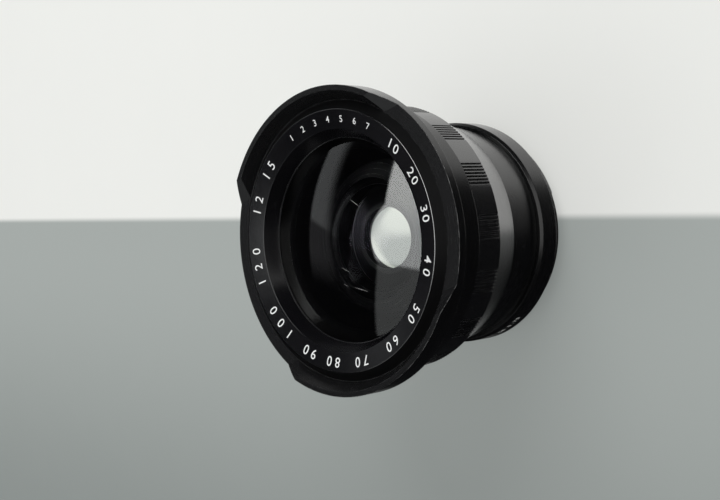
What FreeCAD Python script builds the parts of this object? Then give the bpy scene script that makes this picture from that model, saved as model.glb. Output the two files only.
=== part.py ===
import FreeCAD, Part
import math
import os

# Wide-angle conversion lens that screws into the filter thread of a camera lens.
# Millimetres. The optical axis is Z, the front glass looks up, and the rear thread stands on Z = 0.
# The long lobes of the petal hood lie on +Y and -Y, the short sides on +X and -X.
Vector = FreeCAD.Vector
AXIS_POINT = Vector(0, 0, 0)
AXIS = Vector(0, 0, 1)

# Clearances
thread_clearance = 0.05
running_clearance = 0.05
glass_clearance = 0.05
seat_clearance = 0.02
adapter_gap = 0.05

# Edge breaks
edge_chamfer = 0.3
flange_front_chamfer = 0.7
flange_rear_chamfer = 0.4

# Radii, from the rear thread outwards to the hood
thread_radius = 29.0
thread_shoulder = 2.2
flange_lip = 1.6
neck_flare = 1.4
neck_step = 0.5
band_flare = 3.3
grip_step = 0.6
barrel_step = 0.6
hood_overhang = 4.0

# Walls, from the outside inwards
grip_wall = 2.95
collar_wall = 2.35
sleeve_wall = 3.0
neck_wall = 3.1
spigot_wall = 1.6
adapter_mouth_wall = 2.8

# Adapter ring
thread_length = 4.5
flange_thickness = 6.9
spigot_length = 4.0
spigot_end_gap = 0.2
adapter_mouth_step = 1.5

# Rear positive group and its cell
rear_cell_flange_gap = 2.0
rear_cell_flange_width = 2.0
rear_cell_flange_thickness = 1.5
rear_cell_thread_step = 1.3
rear_cell_wall = 2.7
rear_cell_above_flange = 0.2
rear_cell_lip = 5.0
rear_cell_mouth_width = 2.5
rear_seat_width = 1.2
rear_ring_width = 1.9
rear_ring_thickness = 2.0
rear_ring_recess = 0.3
crown_curve = 42.0
crown_edge_thickness = 2.4
cement_gap = 0.02
flint_rear_curve = 400.0
flint_centre_thickness = 2.5

# Field stop between the two groups, and the wire clip that holds it
stop_spacing = 4.5
stop_thickness = 1.4
stop_bore_step = 1.0
stop_opening_radius = 13.3
stop_collar_width = 1.9
stop_collar_height = 0.7
stop_ledge_width = 1.1
stop_rear_flare = 0.9
clip_wire_radius = 0.4
clip_opening_angle = 35.0
clip_groove_depth = 0.5
clip_to_ledge = 1.4

# Wave spring and slip washer of the turning joint
turn_gap = 0.3
slip_washer_thickness = 0.25
slip_washer_edge = 1.0
slip_washer_inner_gap = 0.3
spring_space = 1.3
spring_thickness = 0.3
spring_wave = 0.38
spring_wave_count = 3
spring_inner_gap = 0.3
spring_outer_gap = 0.6
spring_points_per_wave = 8

# Second negative glass, its cell and the lock ring
sleeve_tail = 0.2
lock_ring_thickness = 2.2
lock_ring_width = 4.9
cell_wall_below = 1.6
second_cell_wall = 8.0
second_front_curve = 150.0
second_centre_thickness = 2.5
second_rear_curve = 43.0
second_edge_width = 1.5
slot_width = 1.6
slot_depth = 0.8

# Light trap in front of the second glass
baffle_wall_gap = 0.3
baffle_lip_width = 0.8
baffle_lip_thickness = 0.8
baffle_step = 0.7
baffle_step_count = 3
baffle_rise = 0.45

# Front glass
front_curve = 72.5
front_centre_thickness = 3.0
front_rear_spare_curve = 5.7
baffle_width = 3.6
front_glass_edge = 1.8
web_thickness = 3.0
seat_above_shoulder = 0.46

# Name ring and seal
name_thread_step = 1.0
name_ring_width = 8.2
name_bevel = 1.1
name_wall_slope = 2.0
name_outer_drop = 1.6
name_inner_drop = 2.6
name_thread_length = 5.5
seal_thickness = 0.3
seal_width = 1.5

# Petal hood
front_glass_drop = 6.6
lobe_height = 3.5
hood_rim_height = 2.7
lobe_rim_width = 1.4
hood_floor_step = 1.4
recess_half_angle = 36.0
lobe_start_angle = 46.1

# Grip ring and cone band
grip_length = 8.9
band_length = 10.5
grip_group_count = 16
grip_grooves_per_group = 7
grip_groove_pitch = 1.5
grip_group_phase = 5.9
grip_groove_width = 0.46
grip_groove_depth = 0.5

# Guide groove in the sleeve, and the screws whose tips run in it
guide_groove_depth = 1.2
guide_groove_width = 2.1
guide_groove_drop = 5.0
guide_screw_count = 3
guide_screw_radius = 1.0
guide_dog_radius = 0.8
guide_dog_clearance = 0.3
guide_screw_recess = 0.15
guide_slot_width = 0.35
guide_slot_depth = 0.5
guide_screw_phase = 30.0

# Radii worked out from the rear thread
flange_radius = thread_radius + thread_shoulder
neck_rear_radius = flange_radius - flange_lip
neck_front_radius = neck_rear_radius + neck_flare
band_rear_radius = neck_front_radius + neck_step
band_front_radius = band_rear_radius + band_flare
grip_radius = band_front_radius + grip_step
barrel_radius = grip_radius + barrel_step
hood_radius = barrel_radius + hood_overhang
collar_radius = grip_radius - grip_wall - thread_clearance
sleeve_radius = collar_radius - collar_wall - running_clearance
sleeve_bore_radius = sleeve_radius - sleeve_wall
stop_bore_radius = sleeve_bore_radius - stop_bore_step
spigot_radius = neck_rear_radius - neck_wall
adapter_bore_radius = spigot_radius - spigot_wall
adapter_mouth_radius = thread_radius - adapter_mouth_wall
rear_cell_flange_radius = spigot_radius - rear_cell_flange_gap
rear_cell_thread_radius = rear_cell_flange_radius - rear_cell_flange_width
rear_cell_radius = rear_cell_thread_radius - rear_cell_thread_step
rear_glass_radius = rear_cell_radius - rear_cell_wall
rear_clear_radius = rear_glass_radius - rear_seat_width
name_thread_radius = barrel_radius - name_thread_step
hood_floor_radius = name_thread_radius + hood_floor_step
name_outer_radius = name_thread_radius - name_bevel
front_clear_radius = name_thread_radius - name_ring_width
name_inner_radius = front_clear_radius + name_wall_slope
front_glass_radius = front_clear_radius + front_glass_edge
second_glass_radius = sleeve_bore_radius - second_cell_wall
second_rear_clear_radius = second_glass_radius - second_edge_width
front_rear_clear_radius = second_glass_radius + baffle_width
front_rear_curve = front_rear_clear_radius + front_rear_spare_curve
web_bore_radius = front_rear_clear_radius + baffle_wall_gap


def sag(curve, radius):
    """Depth of a spherical surface at a radius from the axis."""
    return curve - math.sqrt(curve * curve - radius * radius)


# Heights worked out from the rear thread forwards
flange_front = thread_length + flange_thickness
cell_seat = flange_front + spigot_length + spigot_end_gap + rear_cell_flange_thickness
rear_cell_end = thread_length + rear_cell_above_flange
flint_vertex = rear_cell_end + rear_ring_recess + rear_ring_thickness
cement_vertex = flint_vertex + flint_centre_thickness
crown_centre_thickness = crown_edge_thickness + 2 * sag(crown_curve, rear_glass_radius)
rear_vertex = cement_vertex + crown_centre_thickness
rear_glass_seat = rear_vertex - sag(crown_curve, rear_clear_radius) + seat_clearance
rear_cell_front = rear_glass_seat + rear_cell_lip
barrel_web_front = rear_cell_front + edge_chamfer
stop_height = barrel_web_front + stop_spacing
clip_height = stop_height + stop_thickness + clip_wire_radius + thread_clearance
spring_ledge = clip_height + clip_wire_radius + thread_clearance + clip_to_ledge
sleeve_rear = spring_ledge + spring_space
lock_ring_rear = sleeve_rear + sleeve_tail
second_cell_rear = lock_ring_rear + lock_ring_thickness
second_seat = second_cell_rear + cell_wall_below + seat_clearance
second_rear_vertex = second_seat + sag(second_rear_curve, second_rear_clear_radius)
second_vertex = second_rear_vertex + second_centre_thickness
second_front_edge = second_vertex + sag(second_front_curve, second_glass_radius)
front_seat = second_front_edge + baffle_lip_thickness + baffle_rise
web_rear = front_seat - web_thickness
front_rear_vertex = front_seat + sag(front_rear_curve, front_rear_clear_radius)
front_vertex = front_rear_vertex + front_centre_thickness
front_end = front_vertex - sag(front_curve, front_clear_radius) + front_glass_drop
recess_floor = front_end - lobe_height
hood_rear = recess_floor - hood_rim_height
shoulder = front_seat - seat_above_shoulder
grip_front = shoulder - turn_gap
band_front = grip_front - grip_length
band_rear = band_front - band_length


def spin(points):
    """Turn a closed outline of (radius, height) points about the axis."""
    corners = [Vector(r, 0, z) for r, z in points]
    outline = Part.makePolygon(corners + [corners[0]])
    return Part.Face(outline).revolve(AXIS_POINT, AXIS, 360)


def cap_arc(vertex, curve, radius, side):
    """Arc of a spherical surface from the axis to a radius; side is +1 where the rim is higher."""
    half = radius / 2
    start = Vector(0, 0, vertex)
    middle = Vector(half, 0, vertex + side * sag(curve, half))
    end = Vector(radius, 0, vertex + side * sag(curve, radius))
    return Part.Arc(start, middle, end).toShape()


def lens(front_arc, rear_arc, edge_points):
    """Turn a lens from its two surface arcs and the corner points of its edge, front to rear."""
    corners = [front_arc.Vertexes[-1].Point]
    corners += [Vector(r, 0, z) for r, z in edge_points]
    corners.append(rear_arc.Vertexes[-1].Point)
    edges = [front_arc, rear_arc]
    for start, end in zip(corners[:-1], corners[1:]):
        edges.append(Part.LineSegment(start, end).toShape())
    middle_line = Part.LineSegment(front_arc.Vertexes[0].Point, rear_arc.Vertexes[0].Point)
    edges.append(middle_line.toShape())
    outline = Part.Wire(Part.__sortEdges__(edges))
    return Part.Face(outline).revolve(AXIS_POINT, AXIS, 360)


def around(shape, count, phase=0.0):
    """Copies of a shape spaced evenly round the axis."""
    copies = []
    for index in range(count):
        turned = shape.copy()
        turned.rotate(AXIS_POINT, AXIS, phase + 360.0 * index / count)
        copies.append(turned)
    return copies


def spanner_slots(outer_radius, low, depth):
    """Bar across the ring that leaves two slots for a pin spanner in the face at the low height."""
    return Part.makeBox(2 * outer_radius, slot_width, depth, Vector(-outer_radius, -slot_width / 2, low))


def front_surface_height(radius):
    """Height of the convex front glass surface at a radius."""
    return front_vertex - sag(front_curve, radius)


def petal_hood():
    """Front barrel, petal hood and turning sleeve, turned from one bar and then milled."""
    rim = hood_radius - lobe_rim_width
    name_bore = name_thread_radius + thread_clearance
    glass_bore = front_glass_radius + glass_clearance
    name_floor = recess_floor - name_thread_length - edge_chamfer
    blank = spin([
        (sleeve_bore_radius, sleeve_rear),
        (sleeve_radius, sleeve_rear),
        (sleeve_radius, shoulder),
        (barrel_radius - edge_chamfer, shoulder),
        (barrel_radius, shoulder + edge_chamfer),
        (barrel_radius, hood_rear),
        (hood_radius - edge_chamfer, hood_rear),
        (hood_radius, hood_rear + edge_chamfer),
        (hood_radius, front_end),
        (rim, front_end),
        (hood_floor_radius, recess_floor),
        (name_bore, recess_floor),
        (name_bore, name_floor),
        (glass_bore, name_floor),
        (glass_bore, front_seat - seat_clearance),
        (web_bore_radius, front_seat - seat_clearance),
        (web_bore_radius, web_rear),
        (sleeve_bore_radius, web_rear),
    ])
    floor_half = hood_radius * math.sin(math.radians(recess_half_angle))
    top_half = hood_radius * math.sin(math.radians(lobe_start_angle))
    above = lobe_height
    slope = (top_half - floor_half) / lobe_height
    high_half = top_half + slope * above
    profile = Part.makePolygon([
        Vector(-2 * hood_radius, -floor_half, recess_floor),
        Vector(-2 * hood_radius, floor_half, recess_floor),
        Vector(-2 * hood_radius, high_half, front_end + above),
        Vector(-2 * hood_radius, -high_half, front_end + above),
        Vector(-2 * hood_radius, -floor_half, recess_floor),
    ])
    milling = Part.Face(profile).extrude(Vector(4 * hood_radius, 0, 0))
    groove_middle = shoulder - guide_groove_drop
    groove = spin([
        (sleeve_radius - guide_groove_depth, groove_middle - guide_groove_width / 2),
        (sleeve_radius + 1, groove_middle - guide_groove_width / 2),
        (sleeve_radius + 1, groove_middle + guide_groove_width / 2),
        (sleeve_radius - guide_groove_depth, groove_middle + guide_groove_width / 2),
    ])
    return blank.cut([milling, groove])


def name_ring():
    """Dished ring that screws into the hood and clamps the front glass."""
    edge_radius = front_glass_radius + 3 * glass_clearance
    over_glass = seal_thickness + 2 * seat_clearance
    return spin([
        (front_clear_radius, front_surface_height(front_clear_radius) + over_glass),
        (name_inner_radius, front_end - name_inner_drop),
        (name_outer_radius, front_end - name_outer_drop),
        (hood_floor_radius - thread_clearance, recess_floor),
        (name_thread_radius, recess_floor),
        (name_thread_radius, recess_floor - name_thread_length),
        (edge_radius, recess_floor - name_thread_length),
        (edge_radius, front_surface_height(front_glass_radius) + over_glass),
    ])


def front_seal():
    """Thin conical seal between the name ring and the rim of the front glass."""
    inner = front_glass_radius - seal_width
    low_inner = front_surface_height(inner) + seat_clearance
    low_outer = front_surface_height(front_glass_radius) + seat_clearance
    return spin([
        (inner, low_inner),
        (inner, low_inner + seal_thickness),
        (front_glass_radius, low_outer + seal_thickness),
        (front_glass_radius, low_outer),
    ])


def front_element():
    """Large negative meniscus: convex outside, deeply hollow behind."""
    front_arc = cap_arc(front_vertex, front_curve, front_glass_radius, -1)
    rear_arc = cap_arc(front_rear_vertex, front_rear_curve, front_rear_clear_radius, -1)
    return lens(front_arc, rear_arc, [(front_glass_radius, front_seat)])


def front_baffle():
    """Stepped light trap that leads from the front glass to the second glass."""
    outer = web_bore_radius - thread_clearance
    skirt = second_glass_radius + 3 * glass_clearance
    lip_low = second_front_edge + seat_clearance
    lip_radius = second_rear_clear_radius + baffle_lip_width
    points = [(skirt, web_rear), (outer, web_rear), (outer, front_seat - seat_clearance)]
    step_width = (outer - lip_radius - baffle_step) / baffle_step_count
    lip_high = lip_low + baffle_lip_thickness
    fall = (front_seat - seat_clearance - lip_high) / baffle_step_count
    for index in range(baffle_step_count):
        radius = outer - step_width * (index + 1)
        points.append((radius, front_seat - seat_clearance - fall * index))
        points.append((radius, front_seat - seat_clearance - fall * (index + 1)))
    points += [(lip_radius, lip_high), (lip_radius, lip_low), (skirt, lip_low)]
    return spin(points)


def second_element():
    """Second negative glass, hollow on both faces."""
    front_arc = cap_arc(second_vertex, second_front_curve, second_glass_radius, 1)
    rear_arc = cap_arc(second_rear_vertex, second_rear_curve, second_rear_clear_radius, -1)
    return lens(front_arc, rear_arc, [(second_glass_radius, second_seat)])


def second_cell():
    """Screwed cell that carries the second glass and holds the baffle up against the web."""
    outer = sleeve_bore_radius - thread_clearance
    bore = second_glass_radius + glass_clearance
    lip = second_rear_clear_radius + 4 * glass_clearance
    seat = second_seat - seat_clearance
    return spin([
        (lip, second_cell_rear),
        (outer, second_cell_rear),
        (outer, web_rear),
        (bore, web_rear),
        (bore, seat),
        (lip, seat),
    ])


def cell_lock_ring():
    """Thin ring, screwed in behind the second cell to lock it."""
    outer = sleeve_bore_radius - thread_clearance
    bore = outer - lock_ring_width
    ring = spin([
        (bore, lock_ring_rear),
        (outer, lock_ring_rear),
        (outer, second_cell_rear),
        (bore, second_cell_rear),
    ])
    return ring.cut(spanner_slots(sleeve_radius, lock_ring_rear, slot_depth))


def rear_barrel():
    """Main barrel: grip collar, cone band and neck outside, seats for the rear group inside."""
    bearing = sleeve_radius + running_clearance
    rear_face = flange_front + adapter_gap
    spigot_bore = spigot_radius + running_clearance
    cell_bore = rear_cell_thread_radius + thread_clearance
    groove_low = stop_height + stop_thickness
    groove_high = clip_height + clip_wire_radius + thread_clearance
    blank = spin([
        (bearing, grip_front),
        (collar_radius, grip_front),
        (collar_radius, band_front),
        (band_front_radius - edge_chamfer, band_front),
        (band_front_radius, band_front - edge_chamfer),
        (band_rear_radius, band_rear),
        (neck_front_radius, band_rear),
        (neck_rear_radius, rear_face),
        (spigot_bore, rear_face),
        (spigot_bore, cell_seat),
        (cell_bore, cell_seat),
        (cell_bore, barrel_web_front),
        (stop_bore_radius - stop_ledge_width, barrel_web_front),
        (stop_bore_radius - stop_ledge_width, stop_height),
        (stop_bore_radius, stop_height),
        (stop_bore_radius, groove_low),
        (stop_bore_radius + clip_groove_depth, groove_low),
        (stop_bore_radius + clip_groove_depth, groove_high),
        (stop_bore_radius, groove_high),
        (stop_bore_radius, spring_ledge),
        (bearing, spring_ledge),
    ])
    hole = Part.makeCylinder(guide_screw_radius + thread_clearance, collar_radius,
                             Vector(0, 0, shoulder - guide_groove_drop), Vector(1, 0, 0))
    return blank.cut(around(hole, guide_screw_count, guide_screw_phase))


def guide_screws():
    """Slotted dog-point screws whose tips run in the groove of the sleeve."""
    height = shoulder - guide_groove_drop
    head = collar_radius - guide_screw_recess
    thread_end = sleeve_radius + running_clearance + thread_clearance
    tip = sleeve_radius - guide_groove_depth + guide_dog_clearance
    out = Vector(1, 0, 0)
    body = Part.makeCylinder(guide_screw_radius, head - thread_end, Vector(thread_end, 0, height), out)
    dog = Part.makeCylinder(guide_dog_radius, thread_end - tip, Vector(tip, 0, height), out)
    slot = Part.makeBox(guide_slot_depth, 4 * guide_screw_radius, guide_slot_width,
                        Vector(head - guide_slot_depth, -2 * guide_screw_radius,
                               height - guide_slot_width / 2))
    screw = body.fuse(dog).cut(slot)
    return Part.makeCompound(around(screw, guide_screw_count, guide_screw_phase))


def grip_ring():
    """Ring with groups of straight grooves milled along the axis."""
    bore = collar_radius + thread_clearance
    blank = spin([
        (bore, band_front),
        (grip_radius - edge_chamfer, band_front),
        (grip_radius, band_front + edge_chamfer),
        (grip_radius, grip_front - edge_chamfer),
        (grip_radius - edge_chamfer, grip_front),
        (bore, grip_front),
    ])
    cutter = Part.makeBox(2 * grip_groove_depth, grip_groove_width, 2 * grip_length,
                          Vector(grip_radius - grip_groove_depth, -grip_groove_width / 2,
                                 band_front - grip_length / 2))
    group = []
    for index in range(grip_grooves_per_group):
        turned = cutter.copy()
        offset = index - (grip_grooves_per_group - 1) / 2
        turned.rotate(AXIS_POINT, AXIS, offset * grip_groove_pitch)
        group.append(turned)
    return blank.cut(around(Part.makeCompound(group), grip_group_count, grip_group_phase))


def slip_washer():
    """Flat washer on which the front barrel turns."""
    inner = sleeve_radius + slip_washer_inner_gap
    outer = grip_radius - slip_washer_edge
    return spin([
        (inner, grip_front),
        (outer, grip_front),
        (outer, grip_front + slip_washer_thickness),
        (inner, grip_front + slip_washer_thickness),
    ])


def wave_curve(radius, middle):
    """Closed curve round the axis that rises and falls spring_wave_count times."""
    total = spring_wave_count * spring_points_per_wave
    points = []
    for index in range(total):
        turn = 2 * math.pi * index / total
        height = middle + spring_wave * math.cos(spring_wave_count * turn)
        points.append(Vector(radius * math.cos(turn), radius * math.sin(turn), height))
    curve = Part.BSplineCurve()
    curve.interpolate(points, PeriodicFlag=True)
    return curve.toShape()


def wave_spring():
    """Wave washer that presses the sleeve forward and gives the turn its drag."""
    middle = spring_ledge + (spring_space - spring_thickness) / 2
    inner_edge = wave_curve(sleeve_bore_radius + spring_inner_gap, middle)
    outer_edge = wave_curve(sleeve_radius - spring_outer_gap, middle)
    band = Part.makeRuledSurface(inner_edge, outer_edge)
    return band.Faces[0].extrude(Vector(0, 0, spring_thickness))


def field_stop():
    """Plate with a raised collar and a sharp round opening between the two groups."""
    outer = stop_bore_radius - thread_clearance
    high = stop_height + stop_thickness
    collar = stop_opening_radius + stop_collar_width
    return spin([
        (outer, stop_height),
        (outer, high),
        (collar, high),
        (collar, high + stop_collar_height),
        (stop_opening_radius, high),
        (stop_opening_radius, high - stop_thickness / 3),
        (stop_opening_radius + stop_rear_flare, stop_height),
    ])


def stop_clip():
    """Split wire ring, sprung into its groove, that holds the field stop down."""
    wire_centre = stop_bore_radius + clip_groove_depth - thread_clearance - clip_wire_radius
    middle = Vector(wire_centre, 0, clip_height)
    section = Part.Wire(Part.makeCircle(clip_wire_radius, middle, Vector(0, 1, 0)))
    return Part.Face(section).revolve(AXIS_POINT, AXIS, 360 - clip_opening_angle)


def rear_cell():
    """Cell that carries the cemented rear pair and screws into the barrel from behind."""
    flange_low = cell_seat - rear_cell_flange_thickness
    mouth = rear_clear_radius + rear_cell_mouth_width
    bore = rear_glass_radius + glass_clearance
    return spin([
        (bore, rear_cell_end),
        (rear_cell_radius, rear_cell_end),
        (rear_cell_radius, flange_low),
        (rear_cell_flange_radius, flange_low),
        (rear_cell_flange_radius, cell_seat),
        (rear_cell_thread_radius, cell_seat),
        (rear_cell_thread_radius, rear_cell_front),
        (mouth, rear_cell_front),
        (rear_clear_radius, rear_glass_seat + edge_chamfer),
        (rear_clear_radius, rear_glass_seat),
        (bore, rear_glass_seat),
    ])


def rear_crown():
    """Strong positive glass of the cemented rear pair."""
    front_arc = cap_arc(rear_vertex, crown_curve, rear_glass_radius, -1)
    rear_arc = cap_arc(cement_vertex + cement_gap, crown_curve, rear_glass_radius, 1)
    return lens(front_arc, rear_arc, [])


def rear_flint():
    """Negative glass of the cemented rear pair."""
    front_arc = cap_arc(cement_vertex, crown_curve, rear_glass_radius, 1)
    rear_arc = cap_arc(flint_vertex, flint_rear_curve, rear_glass_radius, 1)
    return lens(front_arc, rear_arc, [])


def rear_retaining_ring():
    """Slotted ring that clamps the rear pair in its cell."""
    outer = rear_glass_radius
    bore = rear_glass_radius - rear_ring_width
    high = flint_vertex + sag(flint_rear_curve, bore) - seat_clearance
    low = high - rear_ring_thickness
    ring = spin([
        (bore + edge_chamfer, low),
        (outer, low),
        (outer, high),
        (bore, high),
    ])
    return ring.cut(spanner_slots(rear_cell_radius, low, slot_depth))


def adapter_ring():
    """Flanged ring with the spigot for the barrel in front and the camera side thread behind."""
    spigot_front = flange_front + spigot_length
    mouth_depth = thread_length + adapter_mouth_step
    return spin([
        (adapter_mouth_radius, 0),
        (thread_radius - edge_chamfer, 0),
        (thread_radius, edge_chamfer),
        (thread_radius, thread_length),
        (flange_radius - flange_rear_chamfer, thread_length),
        (flange_radius, thread_length + flange_rear_chamfer),
        (flange_radius, flange_front - flange_front_chamfer),
        (flange_radius - flange_front_chamfer, flange_front),
        (spigot_radius, flange_front),
        (spigot_radius, spigot_front - edge_chamfer),
        (spigot_radius - edge_chamfer, spigot_front),
        (adapter_bore_radius, spigot_front),
        (adapter_bore_radius, mouth_depth),
        (adapter_mouth_radius, mouth_depth),
    ])


pieces = {
    "petal_hood": petal_hood,
    "name_ring": name_ring,
    "front_seal": front_seal,
    "front_element": front_element,
    "front_baffle": front_baffle,
    "second_element": second_element,
    "second_cell": second_cell,
    "cell_lock_ring": cell_lock_ring,
    "slip_washer": slip_washer,
    "rear_barrel": rear_barrel,
    "grip_ring": grip_ring,
    "guide_screws": guide_screws,
    "wave_spring": wave_spring,
    "field_stop": field_stop,
    "stop_clip": stop_clip,
    "rear_cell": rear_cell,
    "rear_crown": rear_crown,
    "rear_flint": rear_flint,
    "rear_retaining_ring": rear_retaining_ring,
    "adapter_ring": adapter_ring,
}

os.makedirs("parts", exist_ok=True)
for node, make in pieces.items():
    shape = make()
    shape.exportStep("parts/" + node + ".step")
    print(node, len(shape.Solids), round(shape.Volume, 2), shape.isValid())
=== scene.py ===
import math

import bpy
from mathutils import Matrix, Vector


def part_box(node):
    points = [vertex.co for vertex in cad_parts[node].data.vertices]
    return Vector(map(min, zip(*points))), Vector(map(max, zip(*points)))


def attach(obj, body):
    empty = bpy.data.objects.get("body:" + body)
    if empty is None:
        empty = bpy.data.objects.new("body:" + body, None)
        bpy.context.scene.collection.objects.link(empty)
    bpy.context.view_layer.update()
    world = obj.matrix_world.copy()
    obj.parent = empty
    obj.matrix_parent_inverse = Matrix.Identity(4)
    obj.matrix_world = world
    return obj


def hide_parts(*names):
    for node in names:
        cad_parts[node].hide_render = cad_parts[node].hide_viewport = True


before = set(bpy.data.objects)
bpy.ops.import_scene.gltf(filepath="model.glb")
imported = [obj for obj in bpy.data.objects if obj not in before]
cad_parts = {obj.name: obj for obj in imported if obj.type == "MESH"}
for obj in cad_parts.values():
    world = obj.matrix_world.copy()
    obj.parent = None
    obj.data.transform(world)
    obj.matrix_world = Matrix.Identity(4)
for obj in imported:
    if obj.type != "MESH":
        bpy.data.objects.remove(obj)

# Wide-angle conversion lens. The lengths of the pieces are millimetres, as in the part's source.
# The optical axis is Z and the front glass looks up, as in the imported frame.
scene = bpy.context.scene
mm = 0.001
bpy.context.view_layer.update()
bpy.ops.object.select_all(action="DESELECT")
scene.view_settings.view_transform = "Standard"
print("frame loaded")


def heightOf(node, end):
    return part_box(node)[end].z / mm


def radiusOf(node):
    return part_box(node)[1].y / mm


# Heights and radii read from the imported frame
frontEnd = heightOf("petal_hood", 1)
gripRear = heightOf("grip_ring", 0)
gripFront = heightOf("grip_ring", 1)
glassFront = heightOf("front_element", 1)
hoodRadius = radiusOf("petal_hood")
gripRadius = radiusOf("grip_ring")
flangeRadius = radiusOf("adapter_ring")


# Modelling helpers

modelling = {
    "turnSteps": 256, "mergeWithin": 1e-6, "arcSteps": 40, "bevelAngle": 24, "bevelSegments": 2,
    "smoothAngle": 32, "normalWeight": 60,
}


def selectOnly(piece):
    bpy.ops.object.select_all(action="DESELECT")
    piece.select_set(True)
    bpy.context.view_layer.objects.active = piece


def applyModifier(piece, kind, settings):
    selectOnly(piece)
    bpy.ops.object.modifier_add(type=kind)
    modifier = piece.modifiers[-1]
    for key, value in settings.items():
        setattr(modifier, key, value)
    bpy.ops.object.modifier_apply(modifier=modifier.name)


def inEditMode(piece):
    selectOnly(piece)
    bpy.ops.object.mode_set(mode="EDIT")
    bpy.ops.mesh.select_all(action="SELECT")


def outlineObject(name, outline, closed):
    points = [(radius * mm, 0, height * mm) for radius, height in outline]
    edges = [(index, index + 1) for index in range(len(points) - 1)]
    if closed:
        edges.append((len(points) - 1, 0))
    mesh = bpy.data.meshes.new(name)
    mesh.from_pydata(points, edges, [])
    piece = bpy.data.objects.new(name, mesh)
    scene.collection.objects.link(piece)
    return piece


def turned(name, outline, closed=True, steps=modelling["turnSteps"]):
    piece = outlineObject(name, outline, closed)
    applyModifier(piece, "SCREW", {"steps": steps, "render_steps": steps, "use_merge_vertices": True,
                                   "merge_threshold": modelling["mergeWithin"]})
    outward(piece)
    return piece


def outward(piece):
    inEditMode(piece)
    bpy.ops.mesh.normals_make_consistent(inside=False)
    bpy.ops.object.mode_set(mode="OBJECT")


def softEdges(piece, width, angle=modelling["bevelAngle"], segments=modelling["bevelSegments"]):
    applyModifier(piece, "BEVEL", {"width": width * mm, "segments": segments, "limit_method": "ANGLE",
                                   "angle_limit": math.radians(angle), "use_clamp_overlap": True,
                                   "miter_outer": "MITER_ARC"})


def smoothFaces(piece, angle=modelling["smoothAngle"]):
    selectOnly(piece)
    bpy.ops.object.shade_smooth_by_angle(angle=math.radians(angle))
    applyModifier(piece, "WEIGHTED_NORMAL", {"keep_sharp": True, "weight": modelling["normalWeight"]})


def joined(pieces, name):
    bpy.ops.object.select_all(action="DESELECT")
    for piece in pieces:
        piece.select_set(True)
    bpy.context.view_layer.objects.active = pieces[0]
    bpy.ops.object.join()
    piece = bpy.context.active_object
    piece.name = name
    return piece


def fromAxis(face):
    return math.hypot(face.center.x, face.center.y) / mm


def arcPoints(vertex, curve, radius, side, count=modelling["arcSteps"]):
    points = []
    for index in range(count + 1):
        r = radius * index / count
        points.append((r, vertex + side * (curve - math.sqrt(curve * curve - r * r))))
    return points


def sagOf(curve, radius):
    return curve - math.sqrt(curve * curve - radius * radius)


def finishPiece(piece, body, node, materials):
    for material in materials:
        piece.data.materials.append(material)
    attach(piece, body)
    if node:
        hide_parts(node)


# Material helpers. Each kind of noise has its detail and its roughness. The colour mixer's sockets go by
# their places, because its names come more than once.

colourMixer = {"share": 0, "first": 6, "second": 7, "result": 2}
noiseKinds = {
    "rings": (4.0, 0.7), "grain": (2.0, 0.6), "clouds": (4.0, 0.6), "chips": (5.0, 0.7), "dust": (2.0, 0.5),
    "smear": (4.0, 0.65), "specks": (1.0, 0.4), "waves": (1.0, 0.4), "paintGrain": (3.0, 0.6),
    "mottle": (5.0, 0.6),
}


def startMaterial(name):
    material = bpy.data.materials.new(name)
    material.use_nodes = True
    tree = material.node_tree
    return material, tree, tree.nodes["Principled BSDF"]


def addNode(tree, kind, settings=None, **inputs):
    node = tree.nodes.new(kind)
    for key, value in (settings or {}).items():
        setattr(node, key, value)
    for key, value in inputs.items():
        socket = node.inputs[key] if key in node.inputs else node.inputs[int(key[1:])]
        if isinstance(value, bpy.types.NodeSocket):
            tree.links.new(value, socket)
        else:
            socket.default_value = value
    return node


def mathNode(tree, operation, first, second=0.0, third=0.0):
    return addNode(tree, "ShaderNodeMath", {"operation": operation}, _0=first, _1=second,
                   _2=third).outputs[0]


def ramp(tree, value, low, high, toLow=0.0, toHigh=1.0):
    node = addNode(tree, "ShaderNodeMapRange", {"interpolation_type": "SMOOTHSTEP"}, Value=value)
    for key, amount in (("From Min", low), ("From Max", high), ("To Min", toLow), ("To Max", toHigh)):
        node.inputs[key].default_value = amount
    return node.outputs["Result"]


def blendColours(tree, share, first, second):
    node = addNode(tree, "ShaderNodeMix", {"data_type": "RGBA"})
    for key, value in (("share", share), ("first", first), ("second", second)):
        socket = node.inputs[colourMixer[key]]
        if isinstance(value, bpy.types.NodeSocket):
            tree.links.new(value, socket)
        else:
            socket.default_value = value
    return node.outputs[colourMixer["result"]]


def dotProduct(tree, first, second):
    return addNode(tree, "ShaderNodeVectorMath", {"operation": "DOT_PRODUCT"}, _0=first,
                   _1=second).outputs["Value"]


def noise(tree, where, scale, kind, dimensions="3D"):
    node = addNode(tree, "ShaderNodeTexNoise", {"noise_dimensions": dimensions})
    tree.links.new(where, node.inputs["W" if dimensions == "1D" else "Vector"])
    node.inputs["Scale"].default_value = scale
    node.inputs["Detail"].default_value, node.inputs["Roughness"].default_value = noiseKinds[kind]
    return node.outputs["Fac"]


def grey(value, tint=(1.0, 1.0, 1.0)):
    return (value * tint[0], value * tint[1], value * tint[2], 1.0)


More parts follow.
